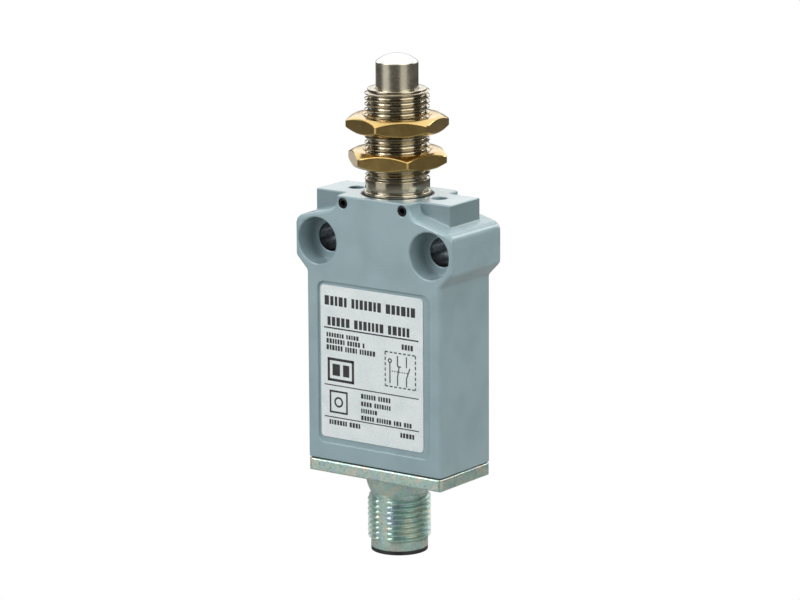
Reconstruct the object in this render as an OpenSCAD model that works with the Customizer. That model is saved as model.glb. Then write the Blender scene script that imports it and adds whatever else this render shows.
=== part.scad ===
// Compact limit switch with a threaded plunger head and a round plug connector.
// The origin is where the plunger's axis crosses the line through the two mounting holes.
// +Z points out along the plunger, -Y out of the labelled front face.

/* [Housing] */
// Width of the lower body
body_w = 30; // [29:0.5:32]
// Width across the two mounting ears
ear_w = 35; // [34:0.5:38]
// Depth of the body from front to back
body_d = 16; // [15.5:0.5:18]
// Height of the head above the mounting holes
head_h = 9; // [9:0.1:9.5]
// Height of the body below the mounting holes
body_drop = 41; // [40:0.5:44]
// Depth of the wide block across the head
block_d = 9.3; // [8.5:0.1:10.5]
// Width of the head's middle part, which is as deep as the body
middle_w = 16.2; // [15.5:0.1:16.8]

/* [Mounting holes] */
// Distance between the two holes
hole_gap = 25; // [24.5:0.1:25.5]
// Diameter of each hole
hole_d = 5.2; // [4.2:0.1:5.4]
// Diameter of the recess for each screw head
recess_d = 8.6; // [8:0.1:9]
// Depth of the recess for each screw head
recess_depth = 4.2; // [3:0.1:5]

/* [Threaded head] */
// Outer diameter of the head's thread
thread_d = 11.9; // [11.8:0.05:12]
// Height of the thread's top above the mounting holes
bushing_top = 28.4; // [28:0.1:31]
// Width of the lock nuts across their flats
nut_af = 16.5; // [16.2:0.1:17]
// Thickness of each lock nut
nut_h = 3; // [2.5:0.1:3]
// Height of the lower nut's bottom face
lower_nut_z = 14.15; // [14.1:0.05:15]
// Height of the upper nut's bottom face
upper_nut_z = 20.5; // [20.5:0.1:22]

/* [Plunger] */
// Diameter of the plunger
plunger_d = 7.8; // [7.6:0.1:7.9]
// Height of the plunger's side above the threaded head
plunger_out = 4.8; // [4.6:0.1:5.5]
// Rise of the domed tip
dome_rise = 1.55; // [1:0.05:2]

/* [Plug connector] */
// Thickness of the base plate
plate_h = 2.35; // [2:0.05:3]
// Outer diameter of the plug's thread
plug_d = 11.7; // [11.5:0.05:12]
// Length of the round boss under the plate
boss_h = 1.6; // [1.2:0.05:2]
// Length of the threaded shell below the boss
shell_h = 12.3; // [12:0.05:14]

/* [Label] */
// Width of the label
label_w = 23; // [18:0.5:24]
// Height of the label
label_h = 28.6; // [20:0.2:29]

/* [Hidden] */
$fn = 96;

// Colours
paint = [0.55, 0.64, 0.66];
zinc = [0.72, 0.75, 0.71];
steel = [0.74, 0.72, 0.68];
brass = [0.80, 0.62, 0.30];
black = [0.10, 0.10, 0.11];
ivory = [0.85, 0.83, 0.76];
copper = [0.78, 0.50, 0.34];

// A cut runs past a face by this much
over = 1;
// Clearance between parts that slide on each other, and between parts that only sit together
running = 0.05;
snug = 0.03;

// Housing
ear_slope = 2.5;
ear_shoulder_z = 4.15;
ear_foot_z = -3.2;
body_top_z = -5.8;
outline_below = 0.6;
outer_round = 0.9;
cavity_w = 25.6;
cavity_d = 11.4;
cavity_top = -6.5;
cavity_round = 1.5;
column_x = 12.4;
column_r = 2.2;
tapping_r = 1.03;
tapping_depth = 8;
top_hole_x = 9.25;
top_hole_r = 1.4;
top_hole_depth = 5.5;
block_round = 0.3;

// Label and its shallow recess
panel_w = label_w + 2;
panel_h = label_h + 1.75;
panel_depth = 0.35;
panel_top = -7.45;
panel_round = 1.5;
label_round = 0.7;
label_t = 0.2;
label_x = -0.45;
label_top = -8.1;

// Threaded head
thread_r = thread_d / 2;
seat_z = 1;
seat_r = 6.45;
throat_r = 5.05;
seal_seat_r = 6.6;
seal_seat_z = 8.4;
seal_r = 0.22;
collar_z = 9.9;
thread_z = 12.1;
lead_h = 0.3;
lead_r = 5.42;
lock_z = 7.6;
lock_x = 6.6;
lock_r = 1;
lock_end = 3;
lock_start = -body_d / 2 + 0.1;
lock_screw_l = 9.4;
hex_r = 0.55;
hex_depth = 1.1;
bushing_r = seat_r - running;
groove_r = 5.45;
groove = [6.55, 8.7];
flange_r = 6.15;
flange_top = 9.6;
thread_chamfer = 0.3;

// Plunger and what holds it in the bushing
plunger_r = plunger_d / 2;
shoulder_r = 4.3;
shoulder_top = 24;
shoulder_h = 5;
stem_r = 1.6;
stem_end = -6.05;
ring_z = 1.45;
ring_h = 0.6;
ring_groove_r = 4.75;
spring_seat_z = 2.1;
spring_seat_h = 0.6;
wiper_z = 25.6;
wiper_h = 1.2;

// Nuts
nut_corner_r = nut_af / 2 + 1.1;
nut_face_r = nut_af / 2 - 0.35;
nut_bore_r = thread_r + running + 0.02;
nut_chamfer = 30;

// Base plate, connector and pins
gasket_h = 0.2;
gasket_inset = 0.25;
plate_top = -body_drop - gasket_h;
plate_bottom = plate_top - plate_h;
boss_r = 6.3;
boss_bottom = plate_bottom - boss_h;
boss_taper_h = 1.85;
neck_r = 5.3;
neck_h = 0.5;
plug_flat_y = 5.6;
plug_chamfer = 0.4;
shell_bottom = boss_bottom - shell_h;
nose_h = 1.45;
shell_bore_r = 4.9;
plate_hole_r = 1.3;
sink_r = 2.35;
sink_depth = 1.05;
screw_head_r = 2.28;
screw_neck_r = 1.2;
screw_head_h = 1.02;
cross_l = 2.4;
cross_w = 0.5;
cross_depth = 0.7;
insert_rim_h = 0.7;
insert_r = shell_bore_r - snug;
insert_groove_r = insert_r - 0.6;
key_w = 1;
key_h = 0.6;
insert_floor = shell_bottom + 7.8;
insert_top = plate_top + 1.2;
socket_r = 4.35;
pin_r = 0.5;
pin_circle_r = 2.5;
pin_tip = shell_bottom + 0.5;
pin_tail = insert_top + 1.8;
pin_angles = [45, 135, 225, 315];

// Contact block
case_w = 20;
case_front = -4.3;
case_back = 5.3;
case_top = -6.8;
case_bottom = -31;
case_wall = 1.2;
cover_t = 0.95;
slider_w = 4.8;
slider_d = 5.6;
slider_top = -6.1;
slider_bottom = -22;
window_d = 3.4;
nc_window = [-15.2, -10.15];
no_window = [-20.55, -16];
bridge_l = 14.4;
bridge_d = 3;
strip_t = 0.6;
rivet_r = 0.9;
rivet_t = 0.25;
rivet_x = 6;
nc_bridge_top = -11.7;
no_bridge_top = -19.9;
touch_gap = 0.03;
no_open_gap = 2.05;
leg_x = 8.3;
leg_y = 2.6;
leg_w = 1.6;
leg_bottom = -34;
arm_start = 4.4;
wire_r = 0.55;

// The point where each wire starts, on a terminal, in the order of the pins
wire_starts = [[leg_x, leg_y], [-leg_x, leg_y], [-leg_x, -leg_y], [leg_x, -leg_y]];

// ---------- Shared shapes ----------

// A round bar along Z between two heights
module bar(r, low, high) {
    translate([0, 0, low]) cylinder(h = high - low, r = r);
}

// A tube along Z between two heights
module tube(outer, inner, low, high) {
    difference() {
        bar(outer, low, high);
        bar(inner, low - over, high + over);
    }
}

// A cone along Z between two heights
module taper(low_r, high_r, low, high) {
    translate([0, 0, low]) cylinder(h = high - low, r1 = low_r, r2 = high_r);
}

// A block centred on X and Y between two heights
module block(w, d, low, high) {
    translate([-w / 2, -d / 2, low]) cube([w, d, high - low]);
}

// A rectangle with round corners, centred
module round_rectangle(w, d, r) {
    square([w - 2 * r, d], center = true);
    square([w, d - 2 * r], center = true);
    for (x = [-1, 1], y = [-1, 1])
        translate([x * (w / 2 - r), y * (d / 2 - r)]) circle(r = r);
}

// A block with round upright edges between two heights
module round_block(w, d, r, low, high) {
    translate([0, 0, low]) linear_extrude(high - low) round_rectangle(w, d, r);
}

// An outline drawn in X and Z, made as deep as the body along Y
module upright(depth) {
    rotate([90, 0, 0]) linear_extrude(depth, center = true) children();
}

// A round hole or bar along Y, from y_start to y_end
module along_y(x, z, r, y_start, y_end) {
    translate([x, y_start, z]) rotate([-90, 0, 0]) cylinder(h = y_end - y_start, r = r);
}

// The points of one rounded corner at b, between its neighbours a and c
function unit(v) = v / norm(v);
function corner(a, b, c, r, steps = 8) =
    let (
        to_a = unit(a - b),
        to_c = unit(c - b),
        half = acos(to_a * to_c) / 2,
        middle = b + unit(to_a + to_c) * r / sin(half),
        first = b + to_a * r / tan(half) - middle,
        last = b + to_c * r / tan(half) - middle,
        start = atan2(first.y, first.x),
        turn = (atan2(last.y, last.x) - start + 540) % 360 - 180
    )
    [for (i = [0:steps]) middle + r * [cos(start + turn * i / steps), sin(start + turn * i / steps)]];

// An outline whose corners are given as [x, y, radius]
function rounded(points) =
    let (n = len(points), xy = [for (p = points) [p.x, p.y]])
    [for (i = [0:n - 1]) each corner(xy[(i + n - 1) % n], xy[i], xy[(i + 1) % n], points[i][2])];

// ---------- Housing ----------

// Outline of the upper body seen from the front: ears, sloped shoulders and the middle of the head
module head_outline() {
    right = [
        [body_w / 2, body_top_z - outline_below, 0.05],
        [body_w / 2, body_top_z, 1],
        [ear_w / 2, ear_foot_z, 1.2],
        [ear_w / 2, ear_shoulder_z, 1.9],
        [middle_w / 2, ear_shoulder_z + ear_slope, 2.2],
        [middle_w / 2, head_h, 0.3]
    ];
    left = [for (i = [len(right) - 1:-1:0]) [-right[i].x, right[i].y, right[i][2]]];
    polygon(rounded(concat(right, left)));
}

module housing_shell() {
    intersection() {
        upright(body_d) head_outline();
        round_block(ear_w, body_d, outer_round, body_top_z - outline_below, head_h);
    }
    round_block(body_w, body_d, outer_round, -body_drop, body_top_z - outline_below);
    round_block(body_w, block_d, block_round, 0, head_h);
}

module housing_cavity() {
    difference() {
        round_block(cavity_w, cavity_d, cavity_round, -body_drop - over, cavity_top);
        for (side = [-1, 1])
            translate([side * column_x, 0, 0]) bar(column_r, -body_drop - 2 * over, cavity_top + over);
        for (side = [-1, 1])
            translate([side * (column_x + 2), 0, 0])
                block(4, 2 * column_r, -body_drop - 2 * over, cavity_top + over);
    }
}

module mounting_hole(x) {
    along_y(x, 0, hole_d / 2, -body_d / 2 - over, body_d / 2 + over);
    along_y(x, 0, recess_d / 2, -body_d / 2 - over, -body_d / 2 + recess_depth);
}

module housing() {
    color(paint)
    difference() {
        housing_shell();
        housing_cavity();
        bar(seat_r, seat_z, head_h + over);
        bar(seal_seat_r, seal_seat_z, head_h + over);
        bar(throat_r, cavity_top - over, seat_z + over);
        for (side = [-1, 1]) {
            mounting_hole(side * hole_gap / 2);
            along_y(side * lock_x, lock_z, lock_r, -body_d / 2 - over, lock_end);
            translate([side * top_hole_x, 0, 0]) bar(top_hole_r, head_h - top_hole_depth, head_h + over);
            translate([side * column_x, 0, 0]) bar(tapping_r, -body_drop - over, -body_drop + tapping_depth);
        }
        translate([0, -body_d / 2, panel_top - panel_h / 2])
            upright(2 * panel_depth) round_rectangle(panel_w, panel_h, panel_round);
    }
}

module label() {
    color([0.78, 0.80, 0.81])
    translate([label_x, -body_d / 2 + panel_depth - label_t / 2, label_top - label_h / 2])
        upright(label_t) round_rectangle(label_w, label_h, label_round);
}

// A headless screw that locks the bushing in the head
module set_screw(side) {
    color(black)
    difference() {
        along_y(side * lock_x, lock_z, lock_r - snug, lock_start, lock_start + lock_screw_l);
        translate([side * lock_x, lock_start - over, lock_z])
            rotate([-90, 0, 0]) cylinder(h = over + hex_depth, r = hex_r, $fn = 6);
    }
}

// ---------- Base plate and connector ----------

module base_gasket() {
    color(black)
    difference() {
        round_block(body_w - 2 * gasket_inset, body_d - 2 * gasket_inset, outer_round,
                    plate_top, plate_top + gasket_h);
        round_block(cavity_w - 6, cavity_d, cavity_round, plate_top - over, plate_top + over);
        for (side = [-1, 1])
            translate([side * column_x, 0, 0])
                bar(plate_hole_r + running, plate_top - over, plate_top + over);
    }
}

// The die-cast thread is cut back flat at the front and the back, where the mould parts
module plug_shell() {
    thread_bottom = shell_bottom + nose_h;
    neck_top = boss_bottom - boss_taper_h;
    bar(boss_r, boss_bottom, plate_bottom + over);
    taper(neck_r, boss_r, neck_top, boss_bottom);
    bar(neck_r, shell_bottom, boss_bottom);
    intersection() {
        union() {
            bar(plug_d / 2, thread_bottom + plug_chamfer, neck_top - neck_h);
            taper(neck_r, plug_d / 2, thread_bottom, thread_bottom + plug_chamfer);
        }
        block(2 * plug_d, 2 * plug_flat_y, shell_bottom, boss_bottom);
    }
}

module base_plate() {
    color(zinc)
    difference() {
        union() {
            round_block(body_w, body_d, outer_round, plate_bottom, plate_top);
            plug_shell();
        }
        bar(shell_bore_r, shell_bottom - over, plate_top + over);
        for (side = [-1, 1])
            translate([side * column_x, 0, 0]) {
                bar(plate_hole_r, plate_bottom - over, plate_top + over);
                taper(sink_r, plate_hole_r, plate_bottom - 0.01, plate_bottom + sink_depth);
            }
    }
}

// A countersunk screw with a cross recess
module base_screw(side) {
    color(steel)
    translate([side * column_x, 0, plate_bottom])
    difference() {
        union() {
            taper(screw_head_r, screw_neck_r, snug, screw_head_h);
            bar(tapping_r - snug, screw_head_h, tapping_depth + plate_h);
        }
        for (turn = [0, 90])
            rotate([0, 0, turn]) block(cross_l, cross_w, -over, cross_depth);
    }
}

// The plastic body of the plug: a cup around the pins with one key rib
module connector_insert() {
    color(black)
    difference() {
        union() {
            bar(insert_r, shell_bottom, insert_top);
            bar(neck_r - snug, shell_bottom - insert_rim_h, shell_bottom);
        }
        difference() {
            bar(socket_r, shell_bottom - insert_rim_h - over, insert_floor);
            translate([0, -socket_r, 0]) block(key_w, 2 * key_h, shell_bottom - over, insert_floor + over);
        }
        tube(insert_r + over, insert_groove_r, insert_floor + 2, insert_floor + 3);
        for (angle = pin_angles)
            rotate([0, 0, angle]) translate([pin_circle_r, 0, 0])
                bar(pin_r, insert_floor - over, insert_top + over);
    }
}

module insert_seal() {
    color([0.35, 0.12, 0.10])
    tube(insert_r, insert_groove_r + snug, insert_floor + 2.05, insert_floor + 2.95);
}

module connector_pin(index) {
    color(brass)
    rotate([0, 0, pin_angles[index]]) translate([pin_circle_r, 0, 0]) {
        bar(pin_r, pin_tip + pin_r, pin_tail);
        translate([0, 0, pin_tip + pin_r]) sphere(r = pin_r);
    }
}

// ---------- Threaded head ----------

module bushing() {
    thread_top = bushing_top - lead_h - thread_chamfer;
    color(steel)
    difference() {
        union() {
            bar(bushing_r, seat_z, groove[0]);
            bar(groove_r, seat_z, collar_z);
            bar(flange_r, groove[1], flange_top);
            bar(thread_r - 0.02, collar_z, thread_z);
            bar(thread_r, thread_z, thread_top);
            taper(thread_r, lead_r, thread_top, thread_top + thread_chamfer);
            bar(lead_r, thread_top, bushing_top);
        }
        bar(plunger_r + running, seat_z - over, bushing_top + over);
        bar(shoulder_r + running, seat_z - over, shoulder_top + running);
        bar(ring_groove_r, ring_z, ring_z + ring_h);
        bar(ring_groove_r, wiper_z, wiper_z + wiper_h);
    }
}

module bushing_seal() {
    color(black)
    rotate_extrude() translate([(seal_seat_r + flange_r) / 2, head_h - 0.12]) circle(r = seal_r);
}

// A thin lock nut: a hexagon with turned corners and both faces chamfered
module lock_nut(z, angle) {
    drop = (nut_corner_r - nut_face_r) * tan(nut_chamfer);
    color(brass)
    translate([0, 0, z]) rotate([0, 0, angle])
    difference() {
        intersection() {
            cylinder(h = nut_h, r = nut_af / 2 / cos(30), $fn = 6);
            union() {
                taper(nut_face_r, nut_corner_r, 0, drop);
                bar(nut_corner_r, drop, nut_h - drop);
                taper(nut_corner_r, nut_face_r, nut_h - drop, nut_h);
            }
        }
        bar(nut_bore_r, -over, nut_h + over);
    }
}

// ---------- Plunger ----------

module plunger() {
    side_top = bushing_top + plunger_out;
    dome_r = (plunger_r * plunger_r + dome_rise * dome_rise) / (2 * dome_rise);
    color(steel) {
        intersection() {
            bar(plunger_r, side_top - over, side_top + dome_rise);
            translate([0, 0, side_top + dome_rise - dome_r]) sphere(r = dome_r);
        }
        bar(plunger_r, shoulder_top - over, side_top);
        bar(shoulder_r, shoulder_top - shoulder_h, shoulder_top);
        bar(stem_r, stem_end, shoulder_top - over);
    }
}

module plunger_seal() {
    color(black)
    tube(ring_groove_r - snug, plunger_r + 0.03, wiper_z + 0.05, wiper_z + wiper_h - 0.05);
}

module return_spring() {
    color(steel)
    tube(shoulder_r - 0.2, shoulder_r - 1, spring_seat_z + spring_seat_h + 0.05,
         shoulder_top - shoulder_h - 0.05);
}

module spring_seat() {
    color(steel)
    tube(shoulder_r, stem_r + 0.2, spring_seat_z, spring_seat_z + spring_seat_h);
}

// A spring ring, open at the back
module retaining_ring() {
    color(steel)
    difference() {
        tube(ring_groove_r - snug, shoulder_r - 1, ring_z + 0.02, ring_z + ring_h - 0.02);
        translate([0, shoulder_r, 0]) block(2.2, 4, ring_z - over, ring_z + over);
    }
}

// ---------- Contact block ----------

module contact_case() {
    inner_w = case_w - 2 * case_wall;
    color(ivory)
    difference() {
        translate([0, (case_front + case_back) / 2, 0])
            block(case_w, case_back - case_front, case_bottom, case_top);
        translate([0, (case_front + case_back - case_wall - over) / 2, 0])
            block(inner_w, case_back - case_front - case_wall + over,
                  case_bottom + case_wall, case_top - case_wall);
        block(slider_w + 0.2, slider_d + 0.2, case_top - case_wall - over, case_top + over);
        for (x = [-leg_x, leg_x], y = [-leg_y, leg_y])
            translate([x, y, 0])
                block(strip_t + 0.1, leg_w + 0.1, case_bottom - over, case_bottom + case_wall + over);
    }
}

module contact_cover() {
    color(ivory)
    translate([0, case_front - snug - cover_t / 2, 0]) block(case_w, cover_t, case_bottom, case_top);
}

// The push rod of the contact block, with a window for each moving contact
module contact_slider() {
    color([0.62, 0.16, 0.12])
    difference() {
        block(slider_w, slider_d, slider_bottom, slider_top);
        for (window = [nc_window, no_window])
            block(slider_w + over, window_d, window[0], window[1]);
    }
}

// A contact spring around the plunger's axis
module contact_spring(outer, low, high) {
    color(steel) tube(outer, outer - 0.4, low + 0.03, high - 0.03);
}

// A moving contact, a flat strip with a rivet at each end, above it or below it
module bridge(top, rivet_side) {
    color(copper) block(bridge_l, bridge_d, top - strip_t, top);
    rivet_low = rivet_side > 0 ? top : top - strip_t - rivet_t;
    color(steel)
    for (side = [-1, 1])
        translate([side * rivet_x, 0, 0]) bar(rivet_r, rivet_low, rivet_low + rivet_t);
}

// A fixed contact: an arm with a rivet under or over it, and a leg down to the wire
module terminal(side, leg_side, arm_low, rivet_side) {
    arm_end = leg_x + strip_t / 2;
    arm_front = min(leg_side * leg_y - leg_w / 2, -1.2);
    arm_back = max(leg_side * leg_y + leg_w / 2, 1.2);
    rivet_low = rivet_side > 0 ? arm_low + strip_t : arm_low - rivet_t;
    color(copper)
    mirror([side < 0 ? 1 : 0, 0, 0]) {
        translate([arm_start, arm_front, arm_low])
            cube([arm_end - arm_start, arm_back - arm_front, strip_t]);
        translate([leg_x, leg_side * leg_y, 0]) block(strip_t, leg_w, leg_bottom, arm_low + strip_t);
        translate([rivet_x, 0, 0]) bar(rivet_r, rivet_low, rivet_low + rivet_t);
    }
}

module nc_terminal(side) {
    terminal(side, 1, nc_bridge_top + rivet_t + touch_gap + rivet_t, -1);
}

module no_terminal(side) {
    rivet_top = no_bridge_top - strip_t - rivet_t - no_open_gap;
    terminal(side, -1, rivet_top - rivet_t - strip_t, 1);
}

// A wire from a terminal's leg to the tail of a pin, as straight runs with round ends
module lead_wire(index, tint) {
    start = wire_starts[index];
    angle = pin_angles[index];
    tail = [pin_circle_r * cos(angle), pin_circle_r * sin(angle)];
    points = [
        [start.x, start.y, leg_bottom - wire_r],
        [start.x * 0.9, start.y, leg_bottom - 2],
        [(start.x + tail.x) / 2, (start.y + tail.y) / 2, (leg_bottom + pin_tail) / 2 - 0.6],
        [tail.x, tail.y, pin_tail + wire_r]
    ];
    color(tint)
    for (i = [0:len(points) - 2])
        hull() {
            translate(points[i]) sphere(r = wire_r, $fn = 16);
            translate(points[i + 1]) sphere(r = wire_r, $fn = 16);
        }
}

// ---------- Assembly ----------

housing();
label();
set_screw(-1);  // set_screw_left
set_screw(1);  // set_screw_right
base_gasket();
base_plate();
base_screw(-1);  // base_screw_left
base_screw(1);  // base_screw_right
connector_insert();
insert_seal();
connector_pin(0);  // connector_pin_1
connector_pin(1);  // connector_pin_2
connector_pin(2);  // connector_pin_3
connector_pin(3);  // connector_pin_4
bushing();
bushing_seal();
lock_nut(lower_nut_z, 16.7);  // lower_nut
lock_nut(upper_nut_z, 40.6);  // upper_nut
plunger();
plunger_seal();
return_spring();
spring_seat();
retaining_ring();
contact_case();
contact_cover();
contact_slider();
contact_spring(2, case_bottom + case_wall, slider_bottom);  // slider_spring
bridge(nc_bridge_top, 1);  // nc_bridge
contact_spring(1.4, nc_window[0], nc_bridge_top - strip_t);  // nc_spring
nc_terminal(-1);  // nc_terminal_left
nc_terminal(1);  // nc_terminal_right
bridge(no_bridge_top, -1);  // no_bridge
contact_spring(1.4, no_bridge_top, no_window[1]);  // no_spring
no_terminal(-1);  // no_terminal_left
no_terminal(1);  // no_terminal_right
lead_wire(0, [0.40, 0.22, 0.10]);  // lead_wire_1
lead_wire(1, [0.92, 0.92, 0.90]);  // lead_wire_2
lead_wire(2, [0.10, 0.25, 0.60]);  // lead_wire_3
lead_wire(3, [0.08, 0.08, 0.08]);  // lead_wire_4
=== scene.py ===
"""A limit switch with a threaded plunger head and a round plug connector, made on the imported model's frame.

Sizes are in millimetres until a mesh is made, which is in metres. +Z runs out along the plunger, and -Y runs
out of the labelled front face.
"""
import math
import random

import bmesh
import bpy
import numpy as np
from mathutils import Matrix, Vector


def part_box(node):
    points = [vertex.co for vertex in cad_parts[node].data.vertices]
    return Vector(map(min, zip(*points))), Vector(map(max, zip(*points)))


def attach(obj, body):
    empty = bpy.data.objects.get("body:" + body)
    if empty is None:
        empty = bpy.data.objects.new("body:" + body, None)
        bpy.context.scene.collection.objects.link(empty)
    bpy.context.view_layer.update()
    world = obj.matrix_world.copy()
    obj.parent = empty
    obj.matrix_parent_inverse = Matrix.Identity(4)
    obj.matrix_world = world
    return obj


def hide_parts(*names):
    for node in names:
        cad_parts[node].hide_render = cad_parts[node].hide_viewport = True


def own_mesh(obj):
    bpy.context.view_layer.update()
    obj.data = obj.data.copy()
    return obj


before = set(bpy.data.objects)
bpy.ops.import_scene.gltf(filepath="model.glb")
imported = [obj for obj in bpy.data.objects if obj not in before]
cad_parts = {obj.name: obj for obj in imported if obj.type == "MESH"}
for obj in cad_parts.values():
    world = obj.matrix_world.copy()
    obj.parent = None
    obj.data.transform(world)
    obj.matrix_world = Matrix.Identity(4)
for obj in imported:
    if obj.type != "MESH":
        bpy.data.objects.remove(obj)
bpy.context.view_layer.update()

MM = 0.001
TURN = 2 * math.pi
TURNED_SIDES = 144
scene = bpy.context.scene


# ---------- Sizes that the frame gives ----------

def size_mm(node):
    """Lowest and highest corner of a CAD node in millimetres, as arrays."""
    low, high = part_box(node)
    return np.array(low) / MM, np.array(high) / MM


housing_low, housing_high = size_mm("housing")
plate_low, plate_high = size_mm("base_plate")
plunger_low, plunger_high = size_mm("plunger")
label_low, label_high = size_mm("label")
insert_low, insert_high = size_mm("connector_insert")

HALF_DEPTH = housing_high[1]
HEAD_TOP = housing_high[2]
BODY_BOTTOM = housing_low[2]
EAR_HALF = housing_high[0]
BODY_HALF = 15.0
MIDDLE_HALF = 8.1
BLOCK_HALF_DEPTH = 4.65
EAR_TOP = 4.7
HOLE_X = 12.5
HOLE_R = 2.6
RECESS_R = 4.3
RECESS_DEPTH = 4.2
LOCK_X, LOCK_Z, LOCK_R = 6.6, 7.6, 1.0
TOP_HOLE_X, TOP_HOLE_R, TOP_HOLE_DEPTH = 9.25, 1.4, 5.5
COLUMN_X, COLUMN_R = 12.4, 2.2
PANEL_HALF_WIDTH, PANEL_HALF_HEIGHT, PANEL_Z = 12.5, 15.175, -22.625
PANEL_CORNER_R, PANEL_DEPTH = 1.5, 0.35
CAVITY_HALF, CAVITY_Z, CAVITY_CORNER_R = (12.8, 5.7, 20.0), -26.5, 1.5
BORE_R, BORE_BOTTOM, THROAT_R = 6.45, 1.0, 5.05
SEAL_SEAT_R, SEAL_SEAT_Z = 6.6, 8.4
PLUNGER_R, DOME_RISE = 3.9, 1.55
PLATE_BOTTOM = -43.55
SCREW_HOLE_R, COUNTERSINK_R, COUNTERSINK_DEPTH = 1.3, 2.35, 1.05
BOSS_R, BOSS_BOTTOM = 6.3, -45.15
NECK_R, NECK_TOP = 5.3, -47.0
PLUG_CREST_R = 5.85
PLUG_THREAD_TOP, PLUG_THREAD_BOTTOM = -47.5, -56.0
SHELL_BORE_R = 4.9
THREAD_PITCH = 1.0
HEAD_THREAD_BOTTOM, HEAD_CREST_R, HEAD_ROOT_R = 12.3, 5.95, 5.34


# ---------- Meshes ----------

def new_piece(name, shell, body, material, replaces=(), crease=35):
    """A shown piece from points in millimetres and faces, riding on a body and standing for CAD nodes."""
    verts, faces = shell
    mesh = bpy.data.meshes.new(name)
    mesh.from_pydata((np.asarray(verts, float) * MM).tolist(), [], faces)
    bm = bmesh.new()
    bm.from_mesh(mesh)
    bmesh.ops.remove_doubles(bm, verts=bm.verts, dist=1e-6)
    bmesh.ops.dissolve_degenerate(bm, edges=bm.edges, dist=1e-6)
    bmesh.ops.recalc_face_normals(bm, faces=bm.faces)
    bm.to_mesh(mesh)
    bm.free()
    mesh.shade_smooth()
    mesh.set_sharp_from_angle(angle=math.radians(crease))
    return place(mesh, name, body, material, replaces)


def new_object(name, data):
    """An object with some data, linked to the scene."""
    made = bpy.data.objects.new(name, data)
    scene.collection.objects.link(made)
    return made


def place(mesh, name, body, material, replaces=()):
    """Makes a finished mesh a piece of the object."""
    piece = new_object(name, mesh)
    mesh.materials.append(material)
    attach(piece, body)
    if replaces:
        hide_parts(*replaces)
    return piece


def join_shells(*shells):
    """Several (verts, faces) as one."""
    verts, faces, start = [], [], 0
    for shell_verts, shell_faces in shells:
        verts.append(np.asarray(shell_verts, float))
        faces += [tuple(i + start for i in f) for f in shell_faces]
        start += len(shell_verts)
    return np.vstack(verts), faces


def grid_shell(points):
    """Quads over a grid of points, rows by columns by xyz."""
    rows, cols = points.shape[:2]
    faces = [
        (r * cols + c, r * cols + c + 1, (r + 1) * cols + c + 1, (r + 1) * cols + c)
        for r in range(rows - 1)
        for c in range(cols - 1)
    ]
    return points.reshape(-1, 3), faces


def circle(radius, angles, z):
    """Points round the Z axis, where the radius and the height may change with the angle."""
    return np.stack([radius * np.cos(angles), radius * np.sin(angles), z + 0 * angles], -1)


def rounded(points, closed=True, steps=5):
    """An outline whose corners, given as (x, y, radius), are turned into arcs."""
    out = []
    count = len(points)
    for i, (x, y, r) in enumerate(points):
        if r <= 0 or (not closed and i in (0, count - 1)):
            out.append((x, y))
            continue
        here = Vector((x, y))
        to_a = (Vector(points[i - 1][:2]) - here).normalized()
        to_c = (Vector(points[(i + 1) % count][:2]) - here).normalized()
        half = to_a.angle(to_c) / 2
        middle = here + (to_a + to_c).normalized() * r / math.sin(half)
        first = here + to_a * r / math.tan(half) - middle
        last = here + to_c * r / math.tan(half) - middle
        start = math.atan2(first.y, first.x)
        turn = (math.atan2(last.y, last.x) - start + 3 * math.pi) % TURN - math.pi
        for k in range(steps + 1):
            angle = start + turn * k / steps
            out.append((middle.x + r * math.cos(angle), middle.y + r * math.sin(angle)))
    return out


def rounded_rectangle(x0, y0, x1, y1, r, steps):
    """The outline of a rectangle with round corners."""
    return rounded([(x0, y0, r), (x1, y0, r), (x1, y1, r), (x0, y1, r)], steps=steps)


def revolve(outline, closed=True):
    """A turned shell from (radius, height) points round the Z axis."""
    outline = list(outline) + ([outline[0]] if closed else [])
    angles = np.linspace(0, TURN, TURNED_SIDES + 1)
    return grid_shell(np.array([circle(r, angles, z) for r, z in outline]))


def threaded(below, above, low, high, crest, root, start, fade, strength=None):
    """A turned shell with a helical thread from low to high between two outlines of (radius, height).

    Rows of points follow the helix, so that the crest stays a clean line. The thread runs out into its
    root at both ends, over the lengths in fade. start is the turn at which it begins. strength(angle) is 1
    where the thread is full and 0 where it is left out.
    """
    segments = 168
    # Height of the thread over its root, from 0 to 1, at each part of a turn
    profile = [(0, 1), (0.14, 1), (0.27, 0.45), (0.41, 0.02), (0.5, -0.04), (0.64, 0.02), (0.82, 0.62)]
    angles = np.linspace(0, TURN, segments + 1)
    full = np.ones_like(angles) if strength is None else strength(angles)
    rows = [circle(r, angles, z) for r, z in below]
    turns = int((high - low) / THREAD_PITCH) + 2
    for turn in range(-2, turns):
        for phase, height in profile:
            z = low + THREAD_PITCH * (turn + phase + start + angles / TURN)
            near_low = np.clip((z - low) / fade[0], 0, 1)
            near_high = np.clip((high - z) / fade[1], 0, 1)
            swell = height * full * np.minimum(near_low, near_high)
            rows.append(circle(root + (crest - root) * swell, angles, np.clip(z, low, high)))
    rows += [circle(r, angles, z) for r, z in above]
    return grid_shell(np.array(rows))


# ---------- Distance fields, for the castings ----------

def box_field(p, centre, half, r=0.0):
    """Distance to a box with edges of radius r."""
    q = [np.abs(p[i] - centre[i]) - (half[i] - r) for i in range(3)]
    outside = np.sqrt(sum(np.maximum(v, 0) ** 2 for v in q))
    return outside + np.minimum(np.maximum(np.maximum(q[0], q[1]), q[2]), 0) - r


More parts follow.
